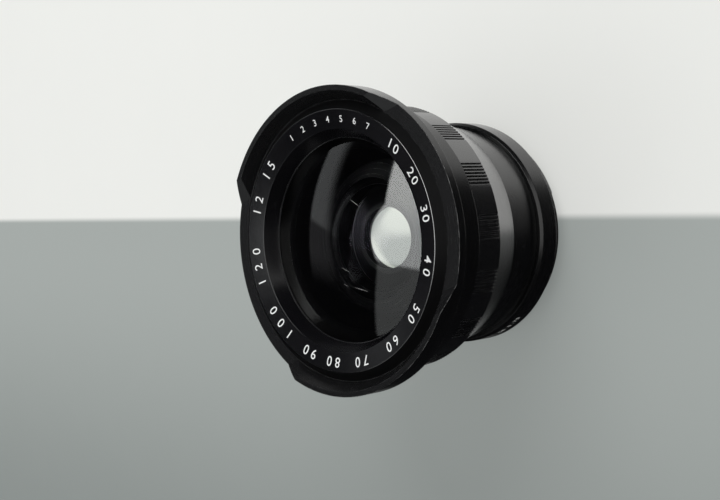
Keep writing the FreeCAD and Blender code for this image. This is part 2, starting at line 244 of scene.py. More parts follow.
def turnedMetal(name, look):
    material, tree, shader = startMaterial(name)
    place = tree.nodes.new("ShaderNodeTexCoord")
    split = addNode(tree, "ShaderNodeSeparateXYZ", Vector=place.outputs["Object"])

    # Turning marks run round the axis, and grain and clouds lie over them
    flat = addNode(tree, "ShaderNodeCombineXYZ", X=split.outputs["X"], Y=split.outputs["Y"])
    radius = addNode(tree, "ShaderNodeVectorMath", {"operation": "LENGTH"}, _0=flat.outputs[0])
    along = mathNode(tree, "MULTIPLY_ADD", radius.outputs["Value"], look["ringSlope"], split.outputs["Z"])
    rings = noise(tree, along, look["ringScale"], "rings", "1D")
    grain = noise(tree, place.outputs["Object"], look["grainScale"], "grain")
    clouds = noise(tree, place.outputs["Object"], look["cloudScale"], "clouds")

    # Sharp edges are worn to the bare metal in places
    rounded = addNode(tree, "ShaderNodeBevel", {"samples": look["edgeSamples"]},
                      Radius=look["edgeWidth"] * mm)
    flatNormal = tree.nodes.new("ShaderNodeNewGeometry").outputs["True Normal"]
    edge = ramp(tree, dotProduct(tree, rounded.outputs[0], flatNormal), *look["edgeTurn"])
    chips = ramp(tree, noise(tree, place.outputs["Object"], look["chipScale"], "chips"),
                 look["chipLow"], look["chipLow"] + look["chipSpan"])
    worn = mathNode(tree, "MULTIPLY", edge, chips)
    worn = mathNode(tree, "MULTIPLY", worn, look["wear"])
    darker, lighter = look["cloudShades"]
    base = blendColours(tree, clouds, grey(look["colour"] * darker, look["tint"]),
                        grey(look["colour"] * lighter, look["tint"]))
    rough = mathNode(tree, "MULTIPLY_ADD", clouds, look["roughVary"], look["rough"] - look["roughVary"] / 2)
    rough = mathNode(tree, "MULTIPLY_ADD", rings, look["ringRough"], rough)

    # Faces that look forwards near the front end are a little paler
    if "milledDrop" in look:
        facing = addNode(tree, "ShaderNodeSeparateXYZ", Vector=place.outputs["Normal"]).outputs["Z"]
        low, high = look["milledBelow"]
        cut = mathNode(tree, "MULTIPLY", ramp(tree, facing, *look["milledFacing"]),
                       ramp(tree, split.outputs["Z"], (frontEnd - look["milledDrop"] - low) * mm,
                            (frontEnd - look["milledDrop"] - high) * mm))
        base = blendColours(tree, cut, base, grey(look["milledColour"], look["tint"]))
        rough = mathNode(tree, "MULTIPLY_ADD", cut, look["milledRough"] - look["rough"], rough)
    dust = ramp(tree, noise(tree, place.outputs["Object"], look["dustScale"], "dust"), *look["dustSpan"])
    base = blendColours(tree, mathNode(tree, "MULTIPLY", dust, look["dust"]), base, look["dustColour"])
    colour = blendColours(tree, worn, base, grey(look["bare"]))
    tree.links.new(colour, shader.inputs["Base Color"])
    rough = mathNode(tree, "MULTIPLY_ADD", worn, look["wornRough"], rough)
    tree.links.new(rough, shader.inputs["Roughness"])
    tree.links.new(mathNode(tree, "MULTIPLY", worn, look["wornMetal"]), shader.inputs["Metallic"])
    relief = mathNode(tree, "MULTIPLY_ADD", rings, look["ringDepth"],
                      mathNode(tree, "MULTIPLY", grain, look["grainDepth"]))
    bump = addNode(tree, "ShaderNodeBump", Height=relief, Strength=1.0, Distance=mm)
    tree.links.new(bump.outputs[0], shader.inputs["Normal"])
    shader.inputs["IOR"].default_value = look["ior"]
    # Painted shade: the specular level follows X, low on the −X side and full past a band, so reflections
    # on that side are dimmed
    if "shadedTo" in look:
        shine = ramp(tree, split.outputs["X"], look["shadedTo"] * mm, look["unshadedFrom"] * mm,
                     *look["shadedShineSpan"])
        tree.links.new(shine, shader.inputs["Specular IOR Level"])
    return material


def coatedGlass(name, look):
    material, tree, shader = startMaterial(name)
    place = tree.nodes.new("ShaderNodeTexCoord")
    smear = noise(tree, place.outputs["Object"], look["smearScale"], "smear")
    specks = ramp(tree, noise(tree, place.outputs["Object"], look["speckScale"], "specks"),
                  *look["speckSpan"])
    film = mathNode(tree, "MULTIPLY", ramp(tree, smear, *look["smearSpan"]), look["smear"])
    rough = mathNode(tree, "MULTIPLY_ADD", specks, look["speck"], film)
    tree.links.new(rough, shader.inputs["Roughness"])
    tree.links.new(blendColours(tree, smear, look["clear"], look["tinted"]), shader.inputs["Base Color"])
    waves = noise(tree, place.outputs["Object"], look["waveScale"], "waves")
    bump = addNode(tree, "ShaderNodeBump", Height=waves, Strength=1.0, Distance=look["waveDepth"] * mm)
    tree.links.new(bump.outputs[0], shader.inputs["Normal"])
    shader.inputs["Transmission Weight"].default_value = 1.0
    shader.inputs["IOR"].default_value = look["index"]
    shader.inputs["Specular Tint"].default_value = look["coating"]
    return material


def plainFinish(name, look):
    material, tree, shader = startMaterial(name)
    place = tree.nodes.new("ShaderNodeTexCoord")
    clouds = noise(tree, place.outputs["Object"], look["cloudScale"], "clouds")
    grain = noise(tree, place.outputs["Object"], look["grainScale"], "paintGrain")
    tree.links.new(blendColours(tree, clouds, look["dark"], look["light"]), shader.inputs["Base Color"])
    rough = mathNode(tree, "MULTIPLY_ADD", clouds, look["roughVary"], look["rough"] - look["roughVary"] / 2)
    rough = mathNode(tree, "MULTIPLY_ADD", grain, look["grainRough"], rough)
    tree.links.new(rough, shader.inputs["Roughness"])
    bump = addNode(tree, "ShaderNodeBump", Height=grain, Strength=1.0, Distance=look["grainDepth"] * mm)
    tree.links.new(bump.outputs[0], shader.inputs["Normal"])
    shader.inputs["Metallic"].default_value = look["metal"]
    shader.inputs["IOR"].default_value = look["ior"]
    return material


anodisedLook = {
    "colour": 0.003, "tint": (1.0, 1.0, 1.06), "ior": 2.1, "rough": 0.2, "roughVary": 0.07,
    "ringSlope": 1.37, "ringScale": 9000.0, "ringRough": 0.05, "ringDepth": 0.0035,
    "grainScale": 5200.0, "grainDepth": 0.0022, "cloudScale": 90.0, "cloudShades": (0.75, 1.3),
    "edgeWidth": 0.22, "edgeSamples": 6, "edgeTurn": (0.985, 0.90),
    "chipScale": 420.0, "chipLow": 0.5, "chipSpan": 0.14,
    "wear": 0.7, "wornRough": 0.12, "wornMetal": 0.8, "bare": 0.42,
    "dustScale": 2600.0, "dustSpan": (0.78, 0.84), "dustColour": (0.32, 0.31, 0.29, 1), "dust": 0.05,
}
blackMetal = turnedMetal("black_anodised", anodisedLook)
hoodMetal = turnedMetal("black_anodised_hood", dict(
    anodisedLook, ior=1.5, chipLow=0.45, milledDrop=3.5, milledBelow=(0.3, 0.1), milledFacing=(0.3, 0.45),
    milledColour=0.006, milledRough=0.24))
# The grip's groove edges are worn to bare metal more widely: partly real wear, partly a painted highlight
# along the groove edges
gripMetal = turnedMetal("black_anodised_grip", dict(anodisedLook, wear=0.55, edgeWidth=0.08, chipLow=0.4))
neckMetal = turnedMetal("black_anodised_neck", dict(anodisedLook, ior=1.5, rough=0.24))
flangeMetal = turnedMetal("black_anodised_flange", dict(anodisedLook, ior=1.52, rough=0.24))
ringMetal = turnedMetal("name_ring_black", dict(
    anodisedLook, colour=0.0032, tint=(1.0, 0.97, 1.2), ior=1.42, rough=0.18, wear=0.6, ringDepth=0.002))
ringEdgeMetal = turnedMetal("name_ring_edge", dict(
    anodisedLook, ior=2.4, rough=0.16, wear=0.15, chipLow=0.4))
ringBevelMetal = turnedMetal("name_ring_bevel", dict(anodisedLook, ior=1.15, rough=0.3, wear=0.1))
# The bead's reflection is painted down on its −X side: painted shade
beadMetal = turnedMetal("glass_bead", dict(
    anodisedLook, colour=0.02, ior=2.4, rough=0.2, wear=0.0, shadedTo=-14.0, unshadedFrom=-4.0,
    shadedShineSpan=(0.06, 0.5)))
innerMetal = turnedMetal("inner_black", dict(
    anodisedLook, colour=0.006, ior=1.22, rough=0.5, wear=0.15, dust=0.04))
stopMetal = turnedMetal("stop_black", dict(
    anodisedLook, colour=0.012, ior=1.5, rough=0.42, wear=0.2, dust=0.05))

frontGlassLook = {
    "clear": (0.985, 0.99, 0.985, 1), "tinted": (0.96, 0.975, 0.97, 1), "coating": (1, 1, 1, 1),
    "index": 1.62, "smearScale": 60.0, "smearSpan": (0.5, 0.75), "smear": 0.012,
    "speckScale": 900.0, "speckSpan": (0.74, 0.8), "speck": 0.08, "waveScale": 25.0, "waveDepth": 0.002,
}
innerGlassLook = dict(
    frontGlassLook, clear=(0.98, 0.99, 0.98, 1), tinted=(0.96, 0.97, 0.96, 1),
    coating=(0.045, 0.04, 0.055, 1), smearScale=45.0, speckScale=800.0, speck=0.04, waveScale=20.0,
    waveDepth=0.001)
frontGlass = coatedGlass("front_glass", frontGlassLook)
innerGlass = coatedGlass("inner_glass", innerGlassLook)
frontGlassRear = coatedGlass("front_glass_rear", innerGlassLook)

paintLook = {
    "dark": (0.72, 0.73, 0.72, 1), "light": (0.86, 0.87, 0.86, 1), "rough": 0.42, "roughVary": 0.15,
    "cloudScale": 700.0, "grainScale": 6000.0, "grainDepth": 0.01, "grainRough": 0.06, "metal": 0.0,
    "ior": 1.45,
}
edgeInk = plainFinish("glass_edge_black", dict(
    paintLook, dark=grey(0.002), light=grey(0.005), rough=0.6, roughVary=0.2, cloudScale=300.0,
    grainScale=2500.0, ior=1.05))
markPaint = plainFinish("mark_paint", paintLook)
scratchPaint = plainFinish("scratched_glass", dict(
    paintLook, dark=grey(0.3), light=grey(0.75), rough=0.5, roughVary=0.2, cloudScale=900.0))
sealRubber = plainFinish("seal_black", dict(
    paintLook, dark=grey(0.01), light=grey(0.025), rough=0.75, cloudScale=400.0, grainScale=3000.0,
    grainDepth=0.02))
washerNylon = plainFinish("washer_nylon", dict(
    paintLook, dark=grey(0.05), light=grey(0.09), rough=0.55, cloudScale=250.0, grainScale=2500.0))
springSteel = plainFinish("spring_steel", dict(
    paintLook, dark=grey(0.42), light=grey(0.6), rough=0.3, roughVary=0.14, cloudScale=500.0,
    grainScale=4000.0, grainDepth=0.008, metal=1.0))
print("materials made")


# Petal hood with the front barrel and the turning sleeve

hood = {
    "barrelStep": 4.0, "rimHeight": 2.7, "lobeHeight": 3.5, "lobeRim": 1.4, "floorStep": 3.6,
    "nameBoreStep": 4.95, "nameFloor": 50.7, "glassBore": 28.65, "seat": 44.25, "webBore": 22.9,
    "webRear": 41.27, "shoulder": 43.81, "sleeveRadius": 30.0, "sleeveBore": 27.0, "sleeveRear": 32.0,
    "chamfer": 0.3, "recessHalfAngle": 36.0, "lobeStartAngle": 46.1, "grooveMiddle": 38.81,
    "grooveWidth": 2.1, "grooveDepth": 1.2, "edge": 0.14, "edgeAngle": 28, "edgeSegments": 3,
}
recessFloor = frontEnd - hood["lobeHeight"]
hoodRear = recessFloor - hood["rimHeight"]
barrelRadius = hoodRadius - hood["barrelStep"]
grooveLow = hood["grooveMiddle"] - hood["grooveWidth"] / 2
grooveHigh = hood["grooveMiddle"] + hood["grooveWidth"] / 2
grooveRadius = hood["sleeveRadius"] - hood["grooveDepth"]
hoodBlank = turned("hood", [
    (hood["sleeveBore"], hood["sleeveRear"]),
    (hood["sleeveRadius"], hood["sleeveRear"]),
    (hood["sleeveRadius"], grooveLow),
    (grooveRadius, grooveLow),
    (grooveRadius, grooveHigh),
    (hood["sleeveRadius"], grooveHigh),
    (hood["sleeveRadius"], hood["shoulder"]),
    (barrelRadius - hood["chamfer"], hood["shoulder"]),
    (barrelRadius, hood["shoulder"] + hood["chamfer"]),
    (barrelRadius, hoodRear),
    (hoodRadius - hood["chamfer"], hoodRear),
    (hoodRadius, hoodRear + hood["chamfer"]),
    (hoodRadius, frontEnd),
    (hoodRadius - hood["lobeRim"], frontEnd),
    (hoodRadius - hood["floorStep"], recessFloor),
    (hoodRadius - hood["nameBoreStep"], recessFloor),
    (hoodRadius - hood["nameBoreStep"], hood["nameFloor"]),
    (hood["glassBore"], hood["nameFloor"]),
    (hood["glassBore"], hood["seat"]),
    (hood["webBore"], hood["seat"]),
    (hood["webBore"], hood["webRear"]),
    (hood["sleeveBore"], hood["webRear"]),
])

# The milling tool that leaves the two long lobes: its flanks slope outwards
floorHalf = hoodRadius * math.sin(math.radians(hood["recessHalfAngle"]))
topHalf = hoodRadius * math.sin(math.radians(hood["lobeStartAngle"]))
bpy.ops.mesh.primitive_cube_add(size=1)
milling = bpy.context.active_object
milling.name = "milling"
for corner in milling.data.vertices:
    upper = corner.co.z > 0
    half = 2 * topHalf - floorHalf if upper else floorHalf
    height = frontEnd + hood["lobeHeight"] if upper else recessFloor
    corner.co = Vector((math.copysign(2 * hoodRadius, corner.co.x) * mm,
                        math.copysign(half, corner.co.y) * mm, height * mm))
applyModifier(hoodBlank, "BOOLEAN", {"operation": "DIFFERENCE", "object": milling, "solver": "EXACT"})
bpy.data.objects.remove(milling)
outward(hoodBlank)
softEdges(hoodBlank, hood["edge"], hood["edgeAngle"], hood["edgeSegments"])
smoothFaces(hoodBlank)
finishPiece(hoodBlank, "front_body", "petal_hood", [hoodMetal])
print("hood made")


# Name ring, dished between the hood and the glass

nameRing = {
    "threadRadius": 35.0, "clearRadius": 26.8, "wallSlope": 2.0, "bevel": 1.1, "innerDrop": 2.6,
    "outerDrop": 1.6, "threadLength": 5.5, "edgeRadius": 28.75, "overGlass": 0.34, "hoodGap": 0.05,
    "edge": 0.12, "edgeAngle": 12, "smoothAngle": 28,
    "bead": 0.11, "beadCorner": 36, "beadSteps": 192, "beadSmooth": 60,
}
glass = {
    "frontCurve": 72.5, "centre": 3.0, "rearCurve": 28.3, "rearClear": 22.6, "radius": 28.6, "seat": 44.27,
    "seatMargin": 0.01, "edgeFrom": 28.5, "arcSteps": 56,
}


def glassHeight(radius):
    return glassFront - sagOf(glass["frontCurve"], radius)


nameInner = nameRing["clearRadius"] + nameRing["wallSlope"]
nameOuter = nameRing["threadRadius"] - nameRing["bevel"]
ringPiece = turned("name_ring_turned", [
    (nameRing["clearRadius"], glassHeight(nameRing["clearRadius"]) + nameRing["overGlass"]),
    (nameInner, frontEnd - nameRing["innerDrop"]),
    (nameOuter, frontEnd - nameRing["outerDrop"]),
    (hoodRadius - hood["floorStep"] - nameRing["hoodGap"], recessFloor),
    (nameRing["threadRadius"], recessFloor),
    (nameRing["threadRadius"], recessFloor - nameRing["threadLength"]),
    (nameRing["edgeRadius"], recessFloor - nameRing["threadLength"]),
    (nameRing["edgeRadius"], glassHeight(glass["radius"]) + nameRing["overGlass"]),
])
softEdges(ringPiece, nameRing["edge"], nameRing["edgeAngle"])
smoothFaces(ringPiece, nameRing["smoothAngle"])
finishPiece(ringPiece, "front_body", "name_ring",
            [ringMetal, ringEdgeMetal, ringBevelMetal])
for face in ringPiece.data.polygons:
    if fromAxis(face) > nameOuter + nameRing["edge"]:
        face.material_index = 2
    elif fromAxis(face) > nameOuter - nameRing["edge"] and face.center.z / mm > recessFloor:
        face.material_index = 1

# Fine polished bead where the ring meets the glass
beadHeight = glassHeight(nameRing["clearRadius"]) + nameRing["bead"]
beadPiece = turned("glass_bead", [
    (nameRing["clearRadius"] + nameRing["bead"] * math.cos(math.radians(turn)),
     beadHeight + nameRing["bead"] * math.sin(math.radians(turn)))
    for turn in range(0, 360, nameRing["beadCorner"])], steps=nameRing["beadSteps"])
smoothFaces(beadPiece, nameRing["beadSmooth"])
finishPiece(beadPiece, "front_body", None, [beadMetal])
print("name ring made")


# Plain numbers round the name ring, as on a dial. Each group runs clockwise between two angles from +X.

marks = {
    "height": 2.7, "smallHeight": 1.75, "capitalShare": 0.72, "depth": 0.03, "sink": 0.006, "weight": 0.003,
    "middle": 31.35,
    "groups": [
        ("1 2 3 4 5 6 7", 98.0, 45.0, "smallHeight"),
        ("10  20  30", 29.0, -11.0, "height"),
        ("40  50", -29.0, -58.0, "height"),
        ("60  70", -72.0, -99.5, "height"),
        ("80 90", -113.0, -135.0, "height"),
        ("100 120", -148.5, -196.0, "height"),
        ("12 15", -216.0, -242.0, "height"),
    ],
}
coneRise = (nameRing["innerDrop"] - nameRing["outerDrop"]) / (nameOuter - nameInner)
coneTilt = math.atan(coneRise)


def textMesh(word, height, name):
    bpy.ops.object.text_add()
    piece = bpy.context.active_object
    piece.name = name
    piece.data.body = word
    piece.data.size = height / marks["capitalShare"] * mm
    piece.data.align_x = "CENTER"
    piece.data.align_y = "CENTER"
    piece.data.extrude = marks["depth"] / 2 * mm
    piece.data.offset = marks["weight"] * height * mm
    bpy.ops.object.convert(target="MESH")
    return bpy.context.active_object


def placeOnCone(piece, angle):
    turn = math.radians(angle)
    outwardLine = Vector((math.cos(turn), math.sin(turn), 0))
    upLine = outwardLine * math.cos(coneTilt) + Vector((0, 0, math.sin(coneTilt)))
    rightLine = Vector((math.sin(turn), -math.cos(turn), 0))
    normalLine = rightLine.cross(upLine)
    height = frontEnd - nameRing["innerDrop"] + (marks["middle"] - nameInner) * coneRise
    place = outwardLine * marks["middle"] * mm + Vector((0, 0, height * mm))
    place += normalLine * (marks["depth"] / 2 - marks["sink"]) * mm
    turnMatrix = Matrix((rightLine, upLine, normalLine)).transposed().to_4x4()
    piece.data.transform(Matrix.Translation(place) @ turnMatrix)


figures = []
for words, startAngle, endAngle, size in marks["groups"]:
    for letterIndex, letter in enumerate(words):
        if letter == " ":
            continue
        figure = textMesh(letter, marks[size], "figure")
        share = letterIndex / (len(words) - 1)
        placeOnCone(figure, startAngle + (endAngle - startAngle) * share)
        figures.append(figure)
ringFigures = joined(figures, "ring_figures")
finishPiece(ringFigures, "front_body", None, [markPaint])
print("figures made")


# Glasses, turned with smooth surfaces. Their ground edges are blackened.

grinding = {"turnSteps": 192, "smoothAngle": 20, "steepest": 0.02, "margin": 0.05}
second = {
    "radius": 19.0, "frontCurve": 150.0, "centre": 2.5, "rearCurve": 43.0, "rearClear": 17.5, "seat": 35.58,
    "edgeFrom": 18.95,
}
pair = {
    "radius": 18.5, "curve": 42.0, "rearCurve": 400.0, "front": 20.5, "cement": 9.5, "rear": 7.0,
    "gap": 0.02, "edgeFrom": 18.45,
}


def glassPiece(name, frontArc, rearArc, edgePoints, body, node, material, edgeFrom):
    outline = frontArc + edgePoints + list(reversed(rearArc))
    piece = turned(name, outline, closed=False, steps=grinding["turnSteps"])
    finishPiece(piece, body, node, [material, edgeInk])
    for face in piece.data.polygons:
        steep = abs(face.normal.z) < grinding["steepest"] and fromAxis(face) > edgeFrom - grinding["margin"]
        face.material_index = 1 if steep or fromAxis(face) > edgeFrom else 0
    smoothFaces(piece, grinding["smoothAngle"])
    return piece


rearVertex = glassFront - glass["centre"]
frontElement = glassPiece(
    "front_glass_lens",
    arcPoints(glassFront, glass["frontCurve"], glass["radius"], -1, glass["arcSteps"]),
    arcPoints(rearVertex, glass["rearCurve"], glass["rearClear"], -1, glass["arcSteps"]),
    [(glass["radius"], glass["seat"])],
    "front_body", "front_element", frontGlass, glass["edgeFrom"])
frontElement.data.materials.append(frontGlassRear)
for face in frontElement.data.polygons:
    if fromAxis(face) > glass["rearClear"] and face.center.z / mm < glass["seat"] + glass["seatMargin"]:
        face.material_index = 1
    elif face.normal.z < 0 and fromAxis(face) < glass["rearClear"]:
        face.material_index = 2
secondRear = second["seat"] + sagOf(second["rearCurve"], second["rearClear"])
glassPiece(
    "second_glass_lens",
    arcPoints(secondRear + second["centre"], second["frontCurve"], second["radius"], 1),
    arcPoints(secondRear, second["rearCurve"], second["rearClear"], -1),
    [(second["radius"], second["seat"])],
    "front_body", "second_element", innerGlass, second["edgeFrom"])
glassPiece(
    "rear_crown_lens",
    arcPoints(pair["front"], pair["curve"], pair["radius"], -1),
    arcPoints(pair["cement"], pair["curve"], pair["radius"], 1),
    [], "rear_body", "rear_crown", innerGlass, pair["edgeFrom"])
glassPiece(
    "rear_flint_lens",
    arcPoints(pair["cement"] - pair["gap"], pair["curve"], pair["radius"], 1),
    arcPoints(pair["rear"], pair["rearCurve"], pair["radius"], 1),
    [], "rear_body", "rear_flint", innerGlass, pair["edgeFrom"])
print("glasses made")


# Hairline scratches on the front glass, each between two points of its front face

scratches = {
    "width": 0.07, "lift": 0.006, "taper": 0.7, "cuts": 5,
    "lines": [((8.85, 7.95), (10.87, 5.39)), ((-0.56, -7.02), (1.49, -8.97)),
              ((-1.99, -11.05), (-0.87, -12.05)), ((1.19, -13.09), (4.41, -15.40))],
}
scratchPieces = []
for start, end in scratches["lines"]:
    bpy.ops.mesh.primitive_plane_add(size=1)
    scratch = bpy.context.active_object
    inEditMode(scratch)
    bpy.ops.mesh.subdivide(number_cuts=scratches["cuts"])
    bpy.ops.object.mode_set(mode="OBJECT")
    first, last = Vector(start), Vector(end)
    across = Vector((first.y - last.y, last.x - first.x)).normalized()
    for point in scratch.data.vertices:
        taper = 1 - abs(2 * point.co.x) * scratches["taper"]
        spot = first.lerp(last, point.co.x + 0.5) + across * point.co.y * scratches["width"] * taper
        point.co = Vector((spot.x, spot.y, glassHeight(spot.length) + scratches["lift"])) * mm
    scratchPieces.append(scratch)
scratchMarks = joined(scratchPieces, "glass_scratches")
finishPiece(scratchMarks, "front_body", None, [scratchPaint])
print("scratches made")


# Rear barrel: collar, cone band and neck

barrel = {
    "bearing": 30.05, "collar": 32.4, "bandFront": 34.8, "bandRear": 31.5, "bandLength": 10.5,
    "neckFront": 31.0, "neckRear": 29.6, "rearFace": 11.45, "spigotBore": 26.55, "cellSeat": 17.1,
    "cellBore": 22.55, "webFront": 22.34, "stopHeight": 27.0, "stopBore": 26.0, "ledge": 24.9,
    "springLedge": 30.7, "chamfer": 0.3, "edge": 0.09, "neckMargin": 0.1,
}
bandRear = gripRear - barrel["bandLength"]
barrelPiece = turned("rear_barrel_turned", [
    (barrel["bearing"], gripFront),
    (barrel["collar"], gripFront),
    (barrel["collar"], gripRear),
    (barrel["bandFront"] - barrel["chamfer"], gripRear),
    (barrel["bandFront"], gripRear - barrel["chamfer"]),
    (barrel["bandRear"], bandRear),
    (barrel["neckFront"], bandRear),
    (barrel["neckRear"], barrel["rearFace"]),
    (barrel["spigotBore"], barrel["rearFace"]),
    (barrel["spigotBore"], barrel["cellSeat"]),
    (barrel["cellBore"], barrel["cellSeat"]),
    (barrel["cellBore"], barrel["webFront"]),
    (barrel["ledge"], barrel["webFront"]),
    (barrel["ledge"], barrel["stopHeight"]),
    (barrel["stopBore"], barrel["stopHeight"]),
    (barrel["stopBore"], barrel["springLedge"]),
    (barrel["bearing"], barrel["springLedge"]),
])
softEdges(barrelPiece, barrel["edge"])
smoothFaces(barrelPiece)
finishPiece(barrelPiece, "rear_body", "rear_barrel", [blackMetal, neckMetal])
for face in barrelPiece.data.polygons:
    if face.center.z / mm < bandRear - barrel["neckMargin"]:
        face.material_index = 1
print("rear barrel made")


# Grip ring with milled grooves in groups

grip = {
    "bore": 32.45, "chamfer": 0.3, "groups": 16, "perGroup": 7, "pitch": 1.5, "phase": 5.9,
    "grooveWidth": 0.46, "grooveDepth": 0.5, "edge": 0.13, "edgeAngle": 30, "facet": 1.5,
}
gripPiece = turned("grip_ring_milled", [
    (grip["bore"], gripRear),
    (gripRadius - grip["chamfer"], gripRear),
    (gripRadius, gripRear + grip["chamfer"]),
    (gripRadius, gripFront - grip["chamfer"]),
    (gripRadius - grip["chamfer"], gripFront),
    (grip["bore"], gripFront),
], steps=round(360 / grip["facet"]))
gripPiece.data.transform(Matrix.Rotation(math.radians(grip["phase"]), 4, "Z"))
bpy.ops.mesh.primitive_cube_add(size=1)
cutter = bpy.context.active_object
cutter.name = "groove_cutter"
groupAngle = grip["pitch"] * (grip["perGroup"] - 1)
firstAngle = math.radians(grip["phase"] - groupAngle / 2)
cutterSize = Matrix.Diagonal((2 * grip["grooveDepth"] * mm, grip["grooveWidth"] * mm,
                              2 * (gripFront - gripRear) * mm, 1))
cutterPlace = Matrix.Translation((gripRadius * mm, 0, (gripFront + gripRear) / 2 * mm))
cutter.data.transform(Matrix.Rotation(firstAngle, 4, "Z") @ cutterPlace @ cutterSize)
inEditMode(cutter)
bpy.ops.mesh.spin(steps=grip["perGroup"] - 1, dupli=True, angle=math.radians(groupAngle),
                  center=(0, 0, 0), axis=(0, 0, -1))
bpy.ops.mesh.select_all(action="SELECT")
bpy.ops.mesh.spin(steps=grip["groups"] - 1, dupli=True,
                  angle=2 * math.pi * (grip["groups"] - 1) / grip["groups"],
                  center=(0, 0, 0), axis=(0, 0, 1))
bpy.ops.object.mode_set(mode="OBJECT")
outward(cutter)
applyModifier(gripPiece, "BOOLEAN", {"operation": "DIFFERENCE", "object": cutter, "solver": "EXACT"})
bpy.data.objects.remove(cutter)
outward(gripPiece)
softEdges(gripPiece, grip["edge"], grip["edgeAngle"])
smoothFaces(gripPiece)
finishPiece(gripPiece, "rear_body", "grip_ring", [gripMetal])
print("grip ring made", len(gripPiece.data.polygons))


# Adapter ring with its flange, spigot and a real thread round the rear

adapter = {
    "threadRoot": 28.58, "threadLength": 4.5, "leadIn": 0.1, "flangeFront": 11.4, "rearChamfer": 0.4,
    "frontChamfer": 0.7, "spigot": 26.5, "spigotFront": 15.4, "bore": 24.9, "mouth": 26.2,
    "mouthDepth": 6.0, "chamfer": 0.3, "edge": 0.09,
}
thread = {
    "radius": 29.0, "crestDrop": 0.04, "crestHalf": 0.07, "rootSink": 0.06, "rootHalf": 0.44, "pitch": 0.75,
    "turns": 5, "firstHeight": 0.42, "steps": 192, "smoothAngle": 30,
}
adapterPiece = turned("adapter_ring_turned", [
    (adapter["mouth"], 0),
    (adapter["threadRoot"] - adapter["leadIn"], 0),
    (adapter["threadRoot"], adapter["leadIn"]),
    (adapter["threadRoot"], adapter["threadLength"]),
    (flangeRadius - adapter["rearChamfer"], adapter["threadLength"]),
    (flangeRadius, adapter["threadLength"] + adapter["rearChamfer"]),
    (flangeRadius, adapter["flangeFront"] - adapter["frontChamfer"]),
    (flangeRadius - adapter["frontChamfer"], adapter["flangeFront"]),
    (adapter["spigot"], adapter["flangeFront"]),
    (adapter["spigot"], adapter["spigotFront"] - adapter["chamfer"]),
    (adapter["spigot"] - adapter["chamfer"], adapter["spigotFront"]),
    (adapter["bore"], adapter["spigotFront"]),
    (adapter["bore"], adapter["mouthDepth"]),
    (adapter["mouth"], adapter["mouthDepth"]),
])
softEdges(adapterPiece, adapter["edge"])
smoothFaces(adapterPiece)
finishPiece(adapterPiece, "adapter_body", "adapter_ring", [flangeMetal])
ridgeFoot = adapter["threadRoot"] - thread["rootSink"]
ridgeCrest = thread["radius"] - thread["crestDrop"]
threadPiece = outlineObject("adapter_thread", [
    (ridgeFoot, thread["firstHeight"] - thread["pitch"] * thread["rootHalf"]),
    (ridgeCrest, thread["firstHeight"] - thread["crestHalf"]),
    (ridgeCrest, thread["firstHeight"] + thread["crestHalf"]),
    (ridgeFoot, thread["firstHeight"] + thread["pitch"] * thread["rootHalf"]),
], True)
inEditMode(threadPiece)
bpy.ops.mesh.edge_face_add()
bpy.ops.object.mode_set(mode="OBJECT")
applyModifier(threadPiece, "SCREW", {"steps": thread["steps"], "render_steps": thread["steps"],
                                     "iterations": thread["turns"], "screw_offset": thread["pitch"] * mm,
                                     "use_normal_calculate": True})
outward(threadPiece)
smoothFaces(threadPiece, thread["smoothAngle"])
finishPiece(threadPiece, "adapter_body", None, [blackMetal])
print("adapter ring made")


# Small plain numbers on the flange rim: thread size and pitch, one figure at a time round the rim

rimMark = {"word": "58 0.75", "height": 1.5, "lastAngle": -71.0, "step": 2.3, "level": 8.4, "inset": 0.02}


def placeOnRim(piece, angle):
    turn = math.radians(angle)
    outwardLine = Vector((math.cos(turn), math.sin(turn), 0))
    rightLine = Vector((-math.sin(turn), math.cos(turn), 0))
    turnMatrix = Matrix((rightLine, Vector((0, 0, 1)), outwardLine)).transposed().to_4x4()
    radius = flangeRadius - rimMark["inset"] + marks["depth"] / 2 - marks["sink"]
    place = outwardLine * radius * mm + Vector((0, 0, rimMark["level"] * mm))
    piece.data.transform(Matrix.Translation(place) @ turnMatrix)


rimLetters = []
lastIndex = len(rimMark["word"]) - 1
for letterIndex, letter in enumerate(rimMark["word"]):
    if letter != " ":
        rimLetter = textMesh(letter, rimMark["height"], "rim_letter")
        placeOnRim(rimLetter, rimMark["lastAngle"] - rimMark["step"] * (lastIndex - letterIndex))
        rimLetters.append(rimLetter)
rimFigures = joined(rimLetters, "rim_figures")
finishPiece(rimFigures, "adapter_body", None, [markPaint])
print("rim mark made")


# CAD nodes that stay as they are get their materials

carried = {
    "front_seal": sealRubber, "front_baffle": innerMetal, "second_cell": innerMetal,
    "cell_lock_ring": innerMetal, "slip_washer": washerNylon, "guide_screws": springSteel,
    "wave_spring": springSteel, "field_stop": stopMetal, "stop_clip": springSteel, "rear_cell": innerMetal,
    "rear_retaining_ring": innerMetal,
}
for node, material in carried.items():
    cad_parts[node].data.materials.clear()
    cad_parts[node].data.materials.append(material)
print("carried nodes painted")


# Camera with the photo's view. The photo shows the lens on its side, so the picture is turned the same way.

view = {
    "place": (209.681, -68.824, 274.285), "turn": (-4.5608, 44.2684, -23.987), "lens": 60.0, "sensor": 36.0,
    "clipStart": 0.01,
}
bpy.ops.object.camera_add(location=[value * mm for value in view["place"]],
                          rotation=[math.radians(value) for value in view["turn"]])
camera = bpy.context.active_object
camera.data.lens = view["lens"]
camera.data.sensor_width = view["sensor"]
camera.data.clip_start = view["clipStart"]
scene.camera = camera
print("camera set")


# Surroundings, for mirror and glass rays only: a bright backdrop over a grey table, a dark side with the
# camera, and on the left a pale screen and a window. Directions are measured along three axes of the table.

